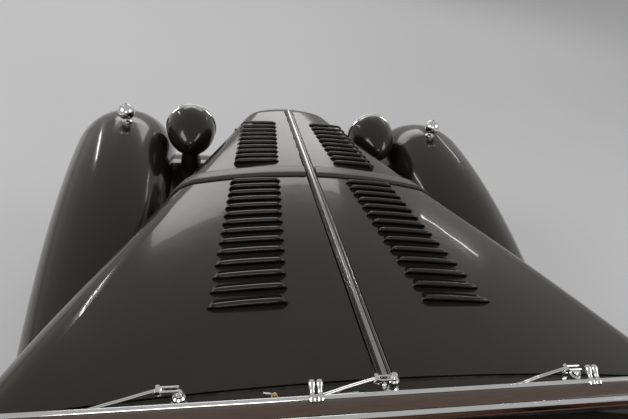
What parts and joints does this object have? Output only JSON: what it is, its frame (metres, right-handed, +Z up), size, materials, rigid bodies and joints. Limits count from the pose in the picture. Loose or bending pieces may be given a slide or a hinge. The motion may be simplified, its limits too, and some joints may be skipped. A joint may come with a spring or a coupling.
{
  "type": "roadster",
  "caption": "Open two-seat roadster with louvred centre-hinged bonnet held by a leather strap, half-round wings, faired lamps, fixed screen and spare wheel sunk in its tail.",
  "frame": {"origin": "on the ground under the middle of the car's box", "axes": "+X towards the nose, +Y to the car's left, +Z up"},
  "size_m": [3.8499, 1.55, 1.2244],
  "materials": {
    "paint": "gloss",
    "dash_paint": "gloss",
    "chassis_black": "satin",
    "chrome": "polished",
    "glass": "clear",
    "lamp_glass": "clear",
    "core_black": "matte",
    "engine_grey": "satin",
    "exhaust_steel": "satin",
    "leather": "satin",
    "strap_leather": "satin",
    "wheel_paint": "gloss",
    "tyre": "matte",
    "wheel_rim_plastic": "gloss"
  },
  "bodies": {
    "chassis": {"chassis_frame": "chassis_black", "body_tub": "paint", "tail_body": "paint", "dashboard": "dash_paint", "windscreen_frame": "chrome", "windscreen_glass": "glass", "wipers": "chrome", "bonnet_hinge": "chrome", "engine_sides": "paint", "radiator_shell": "paint", "grille": "chrome", "radiator_core": "core_black", "front_wing_left": "paint", "front_wing_right": "paint", "rear_wing_left": "paint", "rear_wing_right": "paint", "headlamp_shells": "paint", "headlamp_lenses": "lamp_glass", "sidelamps": "chrome", "tail_lamps": "chrome", "front_suspension": "chassis_black", "rear_axle": "chassis_black", "rear_springs": "chassis_black", "engine": "engine_grey", "propeller_shaft": "chassis_black", "exhaust": "exhaust_steel", "steering_column": "chassis_black", "seat_cushions": "leather", "seat_backs": "leather", "spare_wheel": "wheel_paint", "spare_rim": "wheel_paint", "spare_tyre": "tyre"},
    "left_bonnet": {"bonnet_left": "paint", "strap_left": "strap_leather"},
    "right_bonnet": {"bonnet_right": "paint", "strap_right": "strap_leather"},
    "left_door": {"door_left": "paint"},
    "right_door": {"door_right": "paint"},
    "left_knuckle": {"knuckle_left": "chassis_black"},
    "right_knuckle": {"knuckle_right": "chassis_black"},
    "steering": {"steering_wheel": "wheel_rim_plastic"},
    "front_left_wheel": {"wheel_front_left": "wheel_paint", "rim_front_left": "wheel_paint", "tyre_front_left": "tyre"},
    "front_right_wheel": {"wheel_front_right": "wheel_paint", "rim_front_right": "wheel_paint", "tyre_front_right": "tyre"},
    "rear_left_wheel": {"wheel_rear_left": "wheel_paint", "rim_rear_left": "wheel_paint", "tyre_rear_left": "tyre"},
    "rear_right_wheel": {"wheel_rear_right": "wheel_paint", "rim_rear_right": "wheel_paint", "tyre_rear_right": "tyre"}
  },
  "joints": [
    {"name": "bonnet_left_hinge", "type": "hinge", "parent": "chassis", "child": "left_bonnet", "pos_m": [0.235, 0, 0.975], "axis": [0.9982, 0, -0.0599], "range_deg": [0, 62]},
    {"name": "bonnet_right_hinge", "type": "hinge", "parent": "chassis", "child": "right_bonnet", "pos_m": [0.235, 0, 0.975], "axis": [-0.9982, 0, 0.0599], "range_deg": [0, 62]},
    {"name": "door_left_hinge", "type": "hinge", "parent": "chassis", "child": "left_door", "pos_m": [0.078, 0.72461, 0.6], "axis": [0, 0, -1], "range_deg": [0, 65]},
    {"name": "door_right_hinge", "type": "hinge", "parent": "chassis", "child": "right_door", "pos_m": [0.078, -0.72461, 0.6], "axis": [0, 0, 1], "range_deg": [0, 65]},
    {"name": "steer_left", "type": "hinge", "parent": "chassis", "child": "left_knuckle", "pos_m": [1.495, 0.488, 0.34], "axis": [0, 0, 1], "range_deg": [-21, 21]},
    {"name": "steer_right", "type": "hinge", "parent": "chassis", "child": "right_knuckle", "pos_m": [1.495, -0.488, 0.34], "axis": [0, 0, 1], "range_deg": [-21, 21]},
    {"name": "steering_turn", "type": "hinge", "parent": "chassis", "child": "steering", "pos_m": [-0.21, 0.33, 0.86], "axis": [-0.8829, 0, 0.4695], "range_deg": [-231, 231]},
    {"name": "front_left_spin", "type": "hinge", "parent": "left_knuckle", "child": "front_left_wheel", "pos_m": [1.495, 0.5765, 0.34], "axis": [0, 1, 0], "continuous": true},
    {"name": "front_right_spin", "type": "hinge", "parent": "right_knuckle", "child": "front_right_wheel", "pos_m": [1.495, -0.5765, 0.34], "axis": [0, 1, 0], "continuous": true},
    {"name": "rear_left_spin", "type": "hinge", "parent": "chassis", "child": "rear_left_wheel", "pos_m": [-0.905, 0.61, 0.34], "axis": [0, 1, 0], "continuous": true},
    {"name": "rear_right_spin", "type": "hinge", "parent": "chassis", "child": "rear_right_wheel", "pos_m": [-0.905, -0.61, 0.34], "axis": [0, 1, 0], "continuous": true}
  ],
  "couplings": [
    {"joint": "steer_right", "follows": "steer_left", "ratio": 1},
    {"joint": "steering_turn", "follows": "steer_left", "ratio": 11}
  ]
}
